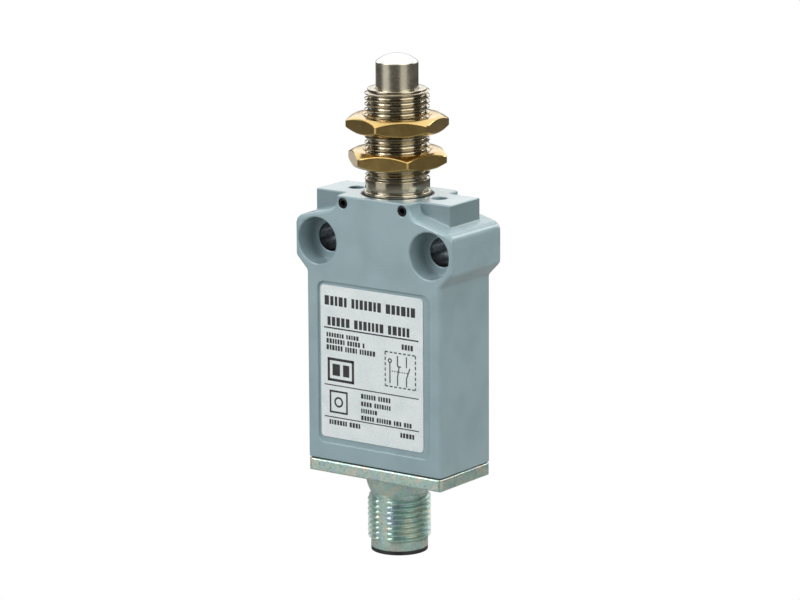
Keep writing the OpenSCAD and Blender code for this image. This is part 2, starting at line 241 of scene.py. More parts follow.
def rectangle_field(a, b, half_a, half_b, r):
    """Distance to a rectangle with round corners, in two coordinates from its centre."""
    qa = np.abs(a) - (half_a - r)
    qb = np.abs(b) - (half_b - r)
    outside = np.sqrt(np.maximum(qa, 0) ** 2 + np.maximum(qb, 0) ** 2)
    return outside + np.minimum(np.maximum(qa, qb), 0) - r


def upright_box_field(p, centre, half, r):
    """Distance to a box with round upright edges only."""
    flat = rectangle_field(p[0] - centre[0], p[1] - centre[1], half[0], half[1], r)
    return np.maximum(flat, np.abs(p[2] - centre[2]) - half[2])


def bar_field(p, axis, centre, r, low, high):
    """Distance to a round bar along an axis (1 for Y, 2 for Z) from low to high."""
    across = [i for i in range(3) if i != axis]
    radial = np.sqrt((p[across[0]] - centre[0]) ** 2 + (p[across[1]] - centre[1]) ** 2) - r
    along = np.abs(p[axis] - (low + high) / 2) - (high - low) / 2
    return np.maximum(radial, along)


def cone_field(p, centre, r_low, r_high, low, high):
    """Distance to a cone along Z, near its side."""
    radial = np.sqrt((p[0] - centre[0]) ** 2 + (p[1] - centre[1]) ** 2)
    slope = (r_high - r_low) / (high - low)
    side = (radial - r_low - slope * (p[2] - low)) / math.hypot(1, slope)
    return np.maximum(side, np.abs(p[2] - (low + high) / 2) - (high - low) / 2)


def blend_max(a, b, r):
    """What is inside both, with a convex edge of radius r."""
    return np.minimum(-r, np.maximum(a, b)) + np.sqrt(np.maximum(r + a, 0) ** 2 + np.maximum(r + b, 0) ** 2)


def blend_min(a, b, r):
    """What is inside either, with a fillet of radius r."""
    return -blend_max(-a, -b, r)


def cut(a, b, r):
    """What is inside a and outside b, with an edge of radius r."""
    return blend_max(a, -b, r)


def outline_field(x, z, outline):
    """Distance to a closed outline in X and Z that is symmetrical about X = 0."""
    ax = np.abs(x)
    best = np.full(np.broadcast(ax, z).shape, 1e9, np.float32)
    inside = np.zeros(best.shape, bool)
    count = len(outline)
    for i in range(count):
        (x0, z0), (x1, z1) = outline[i], outline[(i + 1) % count]
        if max(x0, x1) < -0.01:
            continue
        dx, dz = x1 - x0, z1 - z0
        length = dx * dx + dz * dz
        if length < 1e-12:
            continue
        t = np.clip(((ax - x0) * dx + (z - z0) * dz) / length, 0, 1)
        best = np.minimum(best, (ax - x0 - t * dx) ** 2 + (z - z0 - t * dz) ** 2)
        crosses = (z0 > z) != (z1 > z)
        if dz != 0:
            inside ^= crosses & (ax < (dx * (z - z0) / dz + x0))
    return np.where(inside, -1, 1) * np.sqrt(best)


def field_mesh(name, field, low, high, step):
    """A mesh of the surface where field is zero: one point for each grid cell that the surface crosses.

    Points are pulled onto the surface, flat areas are dissolved, and the normals are the field's own.
    """
    axes = [np.arange(low[i] - 1.5 * step, high[i] + 1.6 * step, step, dtype=np.float32) for i in range(3)]
    counts = [len(a) for a in axes]
    p = [axes[0][:, None, None], axes[1][None, :, None], axes[2][None, None, :]]
    values = np.broadcast_to(field(p), counts).astype(np.float32)
    solid = values < 0
    cells = [c - 1 for c in counts]
    total = np.zeros((*cells, 3), np.float32)
    hits = np.zeros(cells, np.float32)
    for axis in range(3):
        u, v = [i for i in range(3) if i != axis]
        for a, b in ((0, 0), (0, 1), (1, 0), (1, 1)):
            corner = [0, 0, 0]
            corner[u], corner[v] = a, b
            near = values[tuple(slice(i, i + count) for i, count in zip(corner, cells))]
            corner[axis] = 1
            far = values[tuple(slice(i, i + count) for i, count in zip(corner, cells))]
            crossed = (near < 0) != (far < 0)
            hits += crossed
            total[..., axis] += np.where(crossed, near / np.where(crossed, near - far, 1), 0)
            total[..., u] += crossed * a
            total[..., v] += crossed * b
    used = hits > 0
    index = np.full(cells, -1, np.int64)
    index[used] = np.arange(used.sum())
    origin = np.array([a[0] for a in axes])
    points = origin + (np.argwhere(used) + total[used] / hits[used][:, None]) * step
    faces = []
    for axis in range(3):
        u, v = [(1, 2), (2, 0), (0, 1)][axis]
        change = solid != np.roll(solid, -1, axis)
        change[tuple(slice(-1, None) if i == axis else slice(None) for i in range(3))] = False
        at = np.argwhere(change)
        at = at[(at[:, u] > 0) & (at[:, v] > 0)]
        back = np.eye(3, dtype=int)
        corners = (0 * back[u], back[u], back[u] + back[v], back[v])
        quad = np.stack([index[tuple((at - corner).T)] for corner in corners], 1)
        out_facing = solid[tuple(at.T)]
        quad[~out_facing] = quad[~out_facing][:, ::-1]
        faces.append(quad)
    faces = np.vstack(faces)
    for _ in range(3):
        gradient, value = field_slope(field, points)
        points -= gradient * np.clip(value, -step, step)[:, None]
    mesh = bpy.data.meshes.new(name)
    mesh.from_pydata((points * MM).tolist(), [], faces.tolist())
    # Flat areas are dissolved block by block first, which is much quicker than all at once
    block = np.floor(points[faces[:, 0]] / 2.0).astype(int) % 2
    mesh.polygons.foreach_set("material_index", block @ np.array([1, 2, 4]))
    bm = bmesh.new()
    bm.from_mesh(mesh)
    flat = math.radians(0.6)
    bmesh.ops.dissolve_limit(bm, angle_limit=flat, verts=bm.verts, edges=bm.edges, delimit={"MATERIAL"})
    for face in bm.faces:
        face.material_index = 0
    bmesh.ops.dissolve_limit(bm, angle_limit=flat, verts=bm.verts, edges=bm.edges)
    bmesh.ops.triangulate(bm, faces=[f for f in bm.faces if len(f.verts) > 4])
    bm.to_mesh(mesh)
    bm.free()
    left = np.empty(len(mesh.vertices) * 3, np.float32)
    mesh.vertices.foreach_get("co", left)
    normals, _ = field_slope(field, left.reshape(-1, 3) / MM)
    # A normal within 5 degrees of an axis belongs to a flat face, which must not shade into its rounded edge
    square = np.abs(normals) > math.cos(math.radians(5))
    normals = np.where(square.any(1)[:, None], np.sign(normals) * square, normals)
    mesh.shade_smooth()
    mesh.normals_split_custom_set_from_vertices(normals.tolist())
    return mesh


def field_slope(field, points, reach=0.02):
    """The field's unit gradient and its value at some points."""
    p = [points[:, i] for i in range(3)]
    slope = np.empty((len(points), 3))
    for i in range(3):
        ahead, behind = list(p), list(p)
        ahead[i] = p[i] + reach
        behind[i] = p[i] - reach
        slope[:, i] = (field(ahead) - field(behind)) / (2 * reach)
    length = np.linalg.norm(slope, axis=1)
    return slope / np.maximum(length, 1e-6)[:, None], field(p) / np.maximum(length, 0.3)


# ---------- Materials ----------

def srgb(r, g, b):
    """A display colour from 0 to 255 as linear light."""
    def linear(v):
        v /= 255
        return v / 12.92 if v <= 0.04045 else ((v + 0.055) / 1.055) ** 2.4
    return (linear(r), linear(g), linear(b), 1.0)


class Nodes:
    """A short way to build a node tree."""

    def __init__(self, name):
        self.material = bpy.data.materials.new(name)
        self.material.use_nodes = True
        self.tree = self.material.node_tree
        self.shader = self.tree.nodes["Principled BSDF"]

    def add(self, kind, inputs=None, **settings):
        node = self.tree.nodes.new(kind)
        for key, value in settings.items():
            setattr(node, key, value)
        for key, value in (inputs or {}).items():
            self.feed(node.inputs[key], value)
        return node

    def feed(self, socket, value):
        if hasattr(value, "is_output"):
            self.tree.links.new(value, socket)
        else:
            socket.default_value = value

    def set(self, **values):
        for key, value in values.items():
            self.feed(self.shader.inputs[key.replace("_", " ")], value)

    def place(self):
        """Position on the object in metres."""
        return self.add("ShaderNodeTexCoord").outputs["Object"]

    def split(self):
        """X, Y and Z on the object."""
        return self.add("ShaderNodeSeparateXYZ", {"Vector": self.place()}).outputs

    def distance(self, a, b):
        """Distance over two lengths at right angles."""
        flat = self.add("ShaderNodeCombineXYZ", {"X": a, "Y": b}).outputs[0]
        return self.add("ShaderNodeVectorMath", {0: flat}, operation="LENGTH").outputs["Value"]

    def turned_place(self):
        """Distance from the Z axis and height, so that a texture on it makes turning marks."""
        at = self.split()
        radius = self.distance(at["X"], at["Y"])
        return self.add("ShaderNodeCombineXYZ", {"X": radius, "Y": at["Z"]}).outputs[0]

    def noise(self, size_mm, detail=3.0, rough=0.55, distortion=0.0, where=None):
        """Noise whose features are about size_mm across, over the object or over another position."""
        inputs = {"Vector": where or self.place(), "Scale": 1 / (size_mm * MM)}
        inputs.update(Detail=detail, Roughness=rough, Distortion=distortion)
        return self.add("ShaderNodeTexNoise", inputs).outputs["Fac"]

    def ramp(self, fac, stops):
        """A colour ramp of (place, display colour) stops."""
        node = self.add("ShaderNodeValToRGB", {"Fac": fac})
        band = node.color_ramp
        while len(band.elements) < len(stops):
            band.elements.new(0.5)
        for element, (at, colour) in zip(band.elements, stops):
            element.position = at
            element.color = srgb(*colour)
        return node.outputs["Color"]

    def span(self, fac, low, high, start=0.3, end=0.7):
        """fac from start to end, spread over low to high and held there outside them."""
        return self.add(
            "ShaderNodeMapRange",
            {"Value": fac, "From Min": start, "From Max": end, "To Min": low, "To Max": high},
        ).outputs["Result"]

    def above(self, value, edge_mm, fade_mm):
        """0 below an edge, rising to 1 over fade_mm."""
        return self.span(value, 0.0, 1.0, edge_mm * MM, (edge_mm + fade_mm) * MM)

    def below(self, value, edge_mm, fade_mm):
        """1 below an edge, falling to 0 over fade_mm."""
        return self.span(value, 1.0, 0.0, edge_mm * MM, (edge_mm + fade_mm) * MM)

    def calculate(self, operation, *values):
        """The outcome of a named operation on one or two values."""
        return self.add("ShaderNodeMath", dict(enumerate(values)), operation=operation).outputs[0]

    def times(self, a, b):
        return self.calculate("MULTIPLY", a, b)

    def mix(self, fac, a, b):
        """Colour a where fac is 0 and colour b where it is 1."""
        node = self.add("ShaderNodeMix", {"Factor": fac}, data_type="RGBA")
        self.feed(node.inputs[6], a)
        self.feed(node.inputs[7], b)
        return node.outputs[2]

    def total(self, a, b, share=0.5):
        """Two heights as one, b counted at its share."""
        return self.calculate("ADD", a, self.times(b, share))

    def bump(self, height, depth_mm):
        """Bump of a height map that is depth_mm deep."""
        bump = self.add("ShaderNodeBump", {"Height": height, "Distance": depth_mm * MM, "Strength": 1.0})
        self.set(Normal=bump.outputs["Normal"])


def painted_casting():
    """Satin paint on a die casting: a fine even grain and faint flow, with machined bare metal in the bores.

    The two mounting bores were drilled after painting, so they are bare. The ends of the wide block carry
    painted shade: their paint is mixed towards a darker blue-grey.
    """
    n = Nodes("painted_housing")
    grain = n.noise(0.2, 2.0)
    broad = n.noise(7.0, 2.0)
    paint = n.ramp(n.total(broad, grain, 0.8), [(0.62, (136, 159, 166)), (1.18, (150, 173, 180))])
    at = n.split()
    x, y = n.calculate("ABSOLUTE", at["X"]), n.calculate("ABSOLUTE", at["Y"])
    from_hole = n.calculate("SUBTRACT", x, HOLE_X * MM)
    in_bore = n.below(n.distance(from_hole, at["Z"]), HOLE_R + 0.04, 0.12)
    bore_metal = n.ramp(n.noise(0.5, 4.0), [(0.35, (74, 84, 90)), (0.7, (112, 122, 128))])
    # Painted shade: the ends of the wide block are mixed towards a darker blue-grey
    shade_across = n.times(n.above(x, MIDDLE_HALF + 0.2, 0.4), n.below(y, BLOCK_HALF_DEPTH + 0.02, 0.28))
    shade_height = n.times(n.above(at["Z"], EAR_TOP, 0.3), n.below(at["Z"], HEAD_TOP - 0.3, 0.25))
    paint = n.mix(n.times(n.times(shade_across, shade_height), 0.42), paint, srgb(60, 76, 82))
    n.set(
        Base_Color=n.mix(in_bore, paint, bore_metal),
        Metallic=in_bore,
        Roughness=n.span(grain, 0.27, 0.36),
        Specular_IOR_Level=0.25,
        Coat_Weight=0.7,
        Coat_Roughness=0.09,
    )
    n.bump(n.total(grain, n.noise(1.4, 2.0), 1.2), 0.009)
    return n.material


def turned_metal(name, dark, light, rough=(0.2, 0.34), mark_mm=0.09, depth_mm=0.004, polished_highlit_above=None,
                 film=0.0):
    """Bare metal with fine turning marks round the Z axis and a faint smear.

    It can be polished above some height, where a lighter colour is mixed in as a painted highlight, and it
    can carry a film of oil.
    """
    n = Nodes(name)
    marks = n.noise(mark_mm, 4.0, 0.7, where=n.turned_place())
    smear = n.noise(2.2, 4.0)
    colour = n.ramp(smear, [(0.3, dark), (0.7, light)])
    roughness = n.span(n.total(marks, smear, 0.6), *rough, 0.5, 1.1)
    if polished_highlit_above is not None:
        # Above that height the roughness is lowered for the polish, and the colour is made lighter as a
        # painted highlight
        polish_and_highlight = n.above(n.split()["Z"], polished_highlit_above, 0.1)
        colour = n.mix(polish_and_highlight, colour, srgb(218, 218, 216))
        roughness = n.times(roughness, n.span(polish_and_highlight, 1.0, 0.6, 0.0, 1.0))
    n.set(Metallic=1.0, Base_Color=colour, Roughness=roughness, Coat_Weight=film, Coat_Roughness=0.2)
    n.bump(marks, depth_mm)
    return n.material


def passivated_metal():
    """Zinc die casting with a blotchy pale green, blue and violet passivation and a sandy, pitted grain.

    The plug's thread root carries painted shade: a darker green is mixed in all round, but for the two strips
    without a thread.
    """
    n = Nodes("passivated_zinc")
    blotch = n.noise(2.6, 4.0, 0.6, 0.8)
    fine = n.noise(0.28, 4.0, 0.7)
    speck = n.noise(0.11, 2.0, 0.7)
    tint = n.ramp(n.total(blotch, fine, 0.5), [
        (0.54, (184, 194, 220)), (0.62, (206, 220, 222)), (0.70, (182, 222, 212)),
        (0.80, (212, 227, 216)), (0.92, (228, 222, 204)),
    ])
    pits = n.span(n.noise(0.45, 3.0, 0.6), 0.0, 0.55, 0.56, 0.7)
    at = n.split()
    # Painted shade: the thread's root is mixed towards a darker green
    shaded_root = n.below(n.distance(at["X"], at["Y"]), NECK_R + 0.02, 0.43)
    off_strip = n.above(n.calculate("ABSOLUTE", at["X"]), 1.3, 0.8)
    below_top = n.below(at["Z"], PLUG_THREAD_TOP - 0.2, 0.3)
    above_end = n.above(at["Z"], PLUG_THREAD_BOTTOM, 0.3)
    root = n.times(n.times(shaded_root, off_strip), n.times(n.times(below_top, above_end), 0.4))
    tint = n.mix(root, tint, srgb(98, 142, 134))
    n.set(
        Metallic=0.85,
        Base_Color=n.mix(pits, tint, srgb(104, 116, 116)),
        Roughness=n.span(speck, 0.2, 0.4),
    )
    n.bump(n.total(fine, speck, 0.6), 0.034)
    return n.material


def moulded(name, dark, light, rough=0.42, grain_mm=0.18):
    """Moulded plastic or rubber with a fine grain."""
    n = Nodes(name)
    grain = n.noise(grain_mm, 3.0)
    n.set(
        Base_Color=n.ramp(n.noise(2.5, 3.0), [(0.35, dark), (0.7, light)]),
        Roughness=n.span(grain, rough - 0.06, rough + 0.06),
    )
    n.bump(grain, 0.008)
    return n.material


def label_foil_material():
    """Silver label foil with a fine sparkling grain."""
    n = Nodes("label_foil")
    speck = n.noise(0.13, 2.0, 0.7)
    broad = n.noise(4.0, 2.0)
    n.set(
        Metallic=0.45,
        Base_Color=n.ramp(n.total(speck, broad, 0.4),
                          [(0.5, (222, 233, 237)), (0.84, (248, 253, 255))]),
        Roughness=n.span(speck, 0.34, 0.5),
    )
    n.bump(speck, 0.006)
    return n.material


def ink_material():
    """Printing ink, slightly uneven."""
    n = Nodes("label_ink")
    n.set(
        Base_Color=n.ramp(n.noise(0.2, 3.0), [(0.35, (30, 32, 34)), (0.7, (62, 64, 66))]),
        Roughness=0.5,
    )
    n.bump(n.noise(0.12), 0.003)
    return n.material


PAINT = painted_casting()
ZINC = passivated_metal()
NICKEL = turned_metal("nickel_steel", (176, 168, 148), (195, 187, 169), (0.12, 0.2))
GROUND = turned_metal("ground_steel", (192, 185, 167), (206, 200, 184), (0.22, 0.32), 0.05, 0.003,
                      plunger_high[2] - DOME_RISE)
BRASS = turned_metal("nut_brass", (198, 165, 96), (212, 182, 113), (0.15, 0.25), 0.12, 0.003,
                     film=0.35)
BLACK_STEEL = turned_metal("black_steel", (40, 39, 40), (62, 60, 60), (0.28, 0.4))
SCREW_STEEL = turned_metal("screw_steel", (176, 178, 178), (206, 208, 208))
SPRING_STEEL = turned_metal("spring_steel", (160, 160, 158), (190, 190, 188))
PIN_BRASS = turned_metal("pin_brass", (214, 176, 96), (236, 204, 130), (0.18, 0.3))
COPPER = turned_metal("contact_copper", (196, 128, 88), (222, 156, 112))
BLACK_RUBBER = moulded("black_rubber", (22, 22, 24), (38, 38, 40), 0.62, 0.12)
RED_RUBBER = moulded("red_rubber", (110, 40, 34), (134, 52, 44), 0.62, 0.12)
BLACK_PLASTIC = moulded("black_plastic", (26, 27, 29), (42, 43, 45))
IVORY_PLASTIC = moulded("ivory_plastic", (214, 208, 190), (230, 225, 210))
RED_PLASTIC = moulded("red_plastic", (160, 46, 34), (180, 58, 44))
WIRES = [
    moulded("wire_brown", (92, 58, 36), (110, 70, 44), 0.35),
    moulded("wire_white", (226, 226, 222), (238, 238, 234), 0.35),
    moulded("wire_blue", (34, 66, 140), (44, 80, 160), 0.35),
    moulded("wire_black", (24, 24, 26), (36, 36, 38), 0.35),
]
FOIL = label_foil_material()
INK = ink_material()


# ---------- Housing ----------

# The body's outline seen from the front, up to above the head's top face, as corners with their radii
RIGHT_CORNERS = [
    (BODY_HALF, BODY_BOTTOM - 3, 0), (BODY_HALF, -5.8, 1.0), (EAR_HALF, -3.2, 1.2),
    (EAR_HALF, 4.15, 1.9), (MIDDLE_HALF, 6.65, 2.2), (MIDDLE_HALF, HEAD_TOP + 3, 0),
]
LEFT_CORNERS = [(-x, z, r) for x, z, r in reversed(RIGHT_CORNERS)]
HOUSING_OUTLINE = rounded(RIGHT_CORNERS + LEFT_CORNERS, steps=14)


def housing_field(p):
    """Distance to the casting, with its rounded edges, its hollow, its bores and the label's recess."""
    x, y, z = p
    side_edge, top_edge, recess_edge, small_edge, sharp_edge = 0.75, 0.25, 0.3, 0.14, 0.12
    body = blend_max(outline_field(x, z, HOUSING_OUTLINE), np.abs(y) - HALF_DEPTH, side_edge)
    block = box_field(p, (0, 0, HEAD_TOP / 2 + 2), (BODY_HALF, BLOCK_HALF_DEPTH, HEAD_TOP / 2 + 2), 0.22)
    shape = blend_min(body, block, 0.5)
    shape = blend_max(shape, z - HEAD_TOP, top_edge)
    shape = blend_max(shape, BODY_BOTTOM - z, small_edge)
    cavity = upright_box_field(p, (0, 0, CAVITY_Z), CAVITY_HALF, CAVITY_CORNER_R)
    for side in (-1, 1):
        column = np.maximum(np.abs(y) - COLUMN_R, COLUMN_X - side * x)
        column = np.minimum(column, bar_field(p, 2, (side * COLUMN_X, 0), COLUMN_R, -60, 0))
        cavity = np.maximum(cavity, -column)
    shape = cut(shape, cavity, 0.05)
    panel = rectangle_field(x, z - PANEL_Z, PANEL_HALF_WIDTH, PANEL_HALF_HEIGHT, PANEL_CORNER_R)
    panel = np.maximum(panel, y + HALF_DEPTH - PANEL_DEPTH)
    shape = cut(shape, panel, sharp_edge)
    holes = [
        (bar_field(p, 2, (0, 0), BORE_R, BORE_BOTTOM, 30), small_edge),
        (bar_field(p, 2, (0, 0), SEAL_SEAT_R, SEAL_SEAT_Z, 30), small_edge),
        (bar_field(p, 2, (0, 0), THROAT_R, -10, 3), small_edge),
    ]
    for side in (-1, 1):
        holes += [
            (bar_field(p, 1, (side * HOLE_X, 0), HOLE_R, -20, 20), small_edge),
            (bar_field(p, 1, (side * HOLE_X, 0), RECESS_R, -20, -HALF_DEPTH + RECESS_DEPTH), recess_edge),
            (bar_field(p, 1, (side * LOCK_X, LOCK_Z), LOCK_R, -20, 3), sharp_edge),
            (bar_field(p, 2, (side * TOP_HOLE_X, 0), TOP_HOLE_R, HEAD_TOP - TOP_HOLE_DEPTH, 30), small_edge),
            (bar_field(p, 2, (side * COLUMN_X, 0), 1.03, -60, BODY_BOTTOM + 8), 0.1),
        ]
    for hole, edge in holes:
        shape = cut(shape, hole, edge)
    return shape


def make_housing():
    mesh = field_mesh("housing_casting", housing_field, housing_low, housing_high, 0.2)
    place(mesh, "housing_casting", "switch", PAINT, ["housing"])


# ---------- Base plate and plug ----------

def plate_field(p):
    """Distance to the plate with the boss below it, bored through, and its two countersunk holes."""
    plate_top = plate_high[2]
    plate = box_field(p, (0, 0, (plate_top + PLATE_BOTTOM) / 2),
                      (BODY_HALF, HALF_DEPTH, (plate_top - PLATE_BOTTOM) / 2), 0.35)
    corners = upright_box_field(p, (0, 0, PLATE_BOTTOM), (BODY_HALF, HALF_DEPTH, 20), 0.9)
    plate = np.maximum(plate, corners)
    boss_top = plate_top - 0.3
    slope = (BOSS_R - NECK_R) / (BOSS_BOTTOM - NECK_TOP)
    boss = bar_field(p, 2, (0, 0), BOSS_R, NECK_TOP - 1, boss_top)
    taper = cone_field(p, (0, 0), NECK_R, NECK_R + slope * (boss_top - NECK_TOP), NECK_TOP, boss_top)
    shape = blend_min(plate, blend_max(boss, taper, 0.9), 0.3)
    shape = cut(shape, bar_field(p, 2, (0, 0), SHELL_BORE_R, -80, -20), 0.1)
    for side in (-1, 1):
        at = (side * COLUMN_X, 0)
        countersink = cone_field(p, at, COUNTERSINK_R + 1, SCREW_HOLE_R,
                                 PLATE_BOTTOM - 1, PLATE_BOTTOM + COUNTERSINK_DEPTH)
        shape = cut(shape, bar_field(p, 2, at, SCREW_HOLE_R, -80, -20), 0.05)
        shape = cut(shape, countersink, 0.1)
    return shape


def parting_strength(angles):
    """1 round most of the plug, and 0 at the front and back, where the mould's parting leaves no thread."""
    bare, fade = 8, 16
    from_parting = (np.degrees(angles) + 90) % 180
    from_parting = np.minimum(from_parting, 180 - from_parting)
    t = np.clip((from_parting - bare) / fade, 0, 1)
    return t * t * (3 - 2 * t)


def plug_shell():
    """The threaded shell below the boss, with its bore."""
    bottom = plate_low[2]
    inner_top = NECK_TOP + 0.3
    below = [(SHELL_BORE_R, inner_top), (SHELL_BORE_R, bottom + 0.15), (SHELL_BORE_R + 0.12, bottom),
             (NECK_R - 0.2, bottom), (NECK_R - 0.06, bottom + 0.05), (NECK_R, bottom + 0.2)]
    above = [(NECK_R, PLUG_THREAD_TOP + 0.05), (NECK_R, inner_top), (SHELL_BORE_R, inner_top)]
    return threaded(below, above, PLUG_THREAD_BOTTOM, PLUG_THREAD_TOP, PLUG_CREST_R, NECK_R - 0.06,
                    start=-0.18, fade=(0.5, 0.25), strength=parting_strength)


def make_base_plate():
    mesh = field_mesh("plate_part", plate_field, (-BODY_HALF, -HALF_DEPTH, NECK_TOP),
                      (BODY_HALF, HALF_DEPTH, plate_high[2]), 0.2)
    place(mesh, "base_casting", "switch", ZINC, ["base_plate"])
    new_piece("plug_thread", plug_shell(), "switch", ZINC, crease=40)


def make_insert():
    """The plug's plastic body: an outer cup, the floor that holds the pins and one key rib."""
    top, bottom = insert_high[2], insert_low[2]
    rim_top = plate_low[2]
    outline = rounded([
        (0.01, top, 0), (4.87, top, 0.1), (4.87, rim_top, 0.05), (5.27, rim_top, 0.05),
        (5.27, bottom, 0.08), (4.35, bottom, 0.12), (4.35, -49.65, 0.1), (0.01, -49.65, 0),
    ], closed=False)
    cup = revolve(outline, closed=False)
    key = box_shell((-0.5, -4.4, bottom + 0.6), (0.5, -3.75, -49.6))
    new_piece("plug_insert", join_shells(cup, key), "switch", BLACK_PLASTIC,
              ["connector_insert"])


def box_shell(low, high, edge=0.06):
    """A block with bevelled edges."""
    bm = bmesh.new()
    bmesh.ops.create_cube(bm, size=1)
    for v in bm.verts:
        v.co = Vector([(low[i] + high[i]) / 2 + v.co[i] * (high[i] - low[i]) for i in range(3)])
    bmesh.ops.bevel(bm, geom=bm.edges, offset=edge, segments=2, profile=0.5, affect="EDGES")
    verts = [tuple(v.co) for v in bm.verts]
    bm.verts.index_update()
    faces = [tuple(v.index for v in f.verts) for f in bm.faces]
    bm.free()
    return verts, faces


def make_base_screws():
    """Countersunk screws with a cross recess, seen from below the plate."""
    for side, word in ((-1, "left"), (1, "right")):
        def field(p, side=side):
            at = (side * COLUMN_X, 0)
            head = cone_field(p, at, 2.28, 1.2, PLATE_BOTTOM + 0.03, PLATE_BOTTOM + 1.02)
            shank = bar_field(p, 2, at, 1.0, PLATE_BOTTOM + 0.9, PLATE_BOTTOM + 10.3)
            shape = np.minimum(head, shank)
            near = (p[0] - at[0], p[1], p[2])
            for wide, deep in ((1.2, 0.25), (0.25, 1.2)):
                slot = box_field(near, (0, 0, PLATE_BOTTOM), (wide, deep, 0.7), 0.05)
                shape = cut(shape, slot, 0.04)
            return shape
        low = (side * COLUMN_X - 2.3, -2.3, PLATE_BOTTOM)
        high = (side * COLUMN_X + 2.3, 2.3, PLATE_BOTTOM + 10.3)
        mesh = field_mesh(f"base_screw_{word}_mesh", field, low, high, 0.12)
        place(mesh, f"countersunk_screw_{word}", "switch", SCREW_STEEL,
              [f"base_screw_{word}"])


def make_set_screws():
    """Headless screws with a hexagon socket that lock the head."""
    angles = np.linspace(0, TURN, 73)
    sixth = math.pi / 3
    hexagon = 0.55 * math.cos(sixth / 2) / np.cos((angles + sixth / 2) % sixth - sixth / 2)
    front, back = -7.9, 1.5
    rows = [
        (0.01, back), (0.75, back), (0.97, back - 0.25), (0.97, front + 0.16), (0.93, front + 0.05),
        (0.83, front), (hexagon + 0.07, front), (hexagon, front + 0.06), (hexagon, front + 1.1),
        (0.01, front + 1.3),
    ]
    for side, word in ((-1, "left"), (1, "right")):
        # Made upright at the origin, then laid along Y
        points = np.array([circle(r, angles, y) for r, y in rows])[..., [0, 2, 1]]
        shell = grid_shell(points + [side * LOCK_X, 0, LOCK_Z])
        new_piece(f"hex_set_screw_{word}", shell, "switch", BLACK_STEEL,
                  [f"set_screw_{word}"], crease=30)


# ---------- Threaded head ----------

def make_bushing():
    """The threaded bushing: a foot in the housing, a ring and groove above it, a collar and the thread."""
    top = size_mm("bushing")[1][2]
    outer = rounded([
        (4.35, 1.0, 0), (6.4, 1.0, 0.15), (6.4, 6.55, 0.1), (5.45, 6.55, 0.1), (5.45, 8.7, 0.1),
        (6.15, 8.7, 0.1), (6.15, 9.6, 0.2), (5.45, 9.6, 0.08), (5.45, 9.95, 0.08), (5.93, 9.95, 0.18),
        (5.93, 11.9, 0.1), (5.42, 12.1, 0.05), (5.42, HEAD_THREAD_BOTTOM, 0),
    ], closed=False)
    inner = rounded([
        (5.42, top - 0.3, 0), (5.42, top, 0.12), (3.95, top, 0.12), (3.95, 26.85, 0.03), (4.72, 26.8, 0.03),
        (4.72, 25.6, 0.03), (3.95, 25.6, 0.03), (3.95, 24.05, 0.03), (4.35, 24.05, 0.05), (4.35, 1.0, 0),
    ], closed=False)
    shell = threaded(outer, inner, HEAD_THREAD_BOTTOM, top - 0.3, HEAD_CREST_R, HEAD_ROOT_R,
                     start=0.53, fade=(0.3, 0.12))
    new_piece("threaded_bushing", shell, "switch", NICKEL, ["bushing"], crease=32)


def nut_shell(low, turn, height=3.0, apothem=8.25, corner_r=9.42, face_r=7.9, bore_r=6.02):
    """A lock nut: a hexagon with turned corners, both faces chamfered, and a thread chamfer at the bore."""
    slope = math.tan(math.radians(30))
    reach = math.degrees(math.acos(apothem / corner_r))
    local = list(np.linspace(-reach, reach, 15)) + [reach + 0.3, 30.0, 60 - reach - 0.3]
    angles = np.radians([60 * k + a for k in range(6) for a in local] + [360 - reach])
    folded = (np.degrees(angles) + 30) % 60 - 30
    radius = np.minimum(apothem / np.cos(np.radians(folded)), corner_r)
    angles = angles + math.radians(turn + 30)
    edge, bore_edge = 0.1, 0.34
    drop = (radius - face_r) * slope
    half_rows = [
        (bore_r, bore_edge), (bore_r + bore_edge, 0), (face_r - edge, 0), (face_r + edge, edge * slope),
        (radius - edge, drop - edge * slope), (radius, drop + edge),
    ]
    rows = half_rows + [(r, height - z) for r, z in reversed(half_rows)] + [half_rows[0]]
    return grid_shell(np.array([circle(r, angles, low + z) for r, z in rows]))


def make_nuts():
    """The two lock nuts, turned as the photograph shows them."""
    for word, turn in (("lower", 16.7), ("upper", 40.6)):
        low, _ = size_mm(f"{word}_nut")
        new_piece(f"{word}_lock_nut", nut_shell(low[2], turn), f"{word}_nut", BRASS,
                  [f"{word}_nut"], crease=18)


def make_plunger():
    """The plunger with its domed tip, the shoulder that stops it and the stem that pushes the contacts."""
    side_top = plunger_high[2] - DOME_RISE
    dome_r = (PLUNGER_R ** 2 + DOME_RISE ** 2) / (2 * DOME_RISE)
    rim = math.asin(PLUNGER_R / dome_r)
    dome = [
        (dome_r * math.sin(a), plunger_high[2] - dome_r * (1 - math.cos(a)))
        for a in np.linspace(rim * 0.985, 0.002, 22)
    ]
    shaft = rounded([
        (0.01, plunger_low[2], 0), (1.6, plunger_low[2], 0.3), (1.6, 19.0, 0.2), (4.3, 19.0, 0.15),
        (4.3, 24.0, 0.15), (PLUNGER_R, 24.0, 0.05), (PLUNGER_R, side_top - 0.04, 0),
    ], closed=False)
    shell = revolve(shaft + [(3.87, side_top)] + dome, closed=False)
    new_piece("domed_plunger", shell, "plunger", GROUND, ["plunger"], crease=18)


def ring_shell(radius, thickness, z, sides=20):
    """A round-section ring round the Z axis."""
    outline = [
        (radius + thickness * math.cos(TURN * k / sides), z + thickness * math.sin(TURN * k / sides))
        for k in range(sides)
    ]
    return revolve(outline)


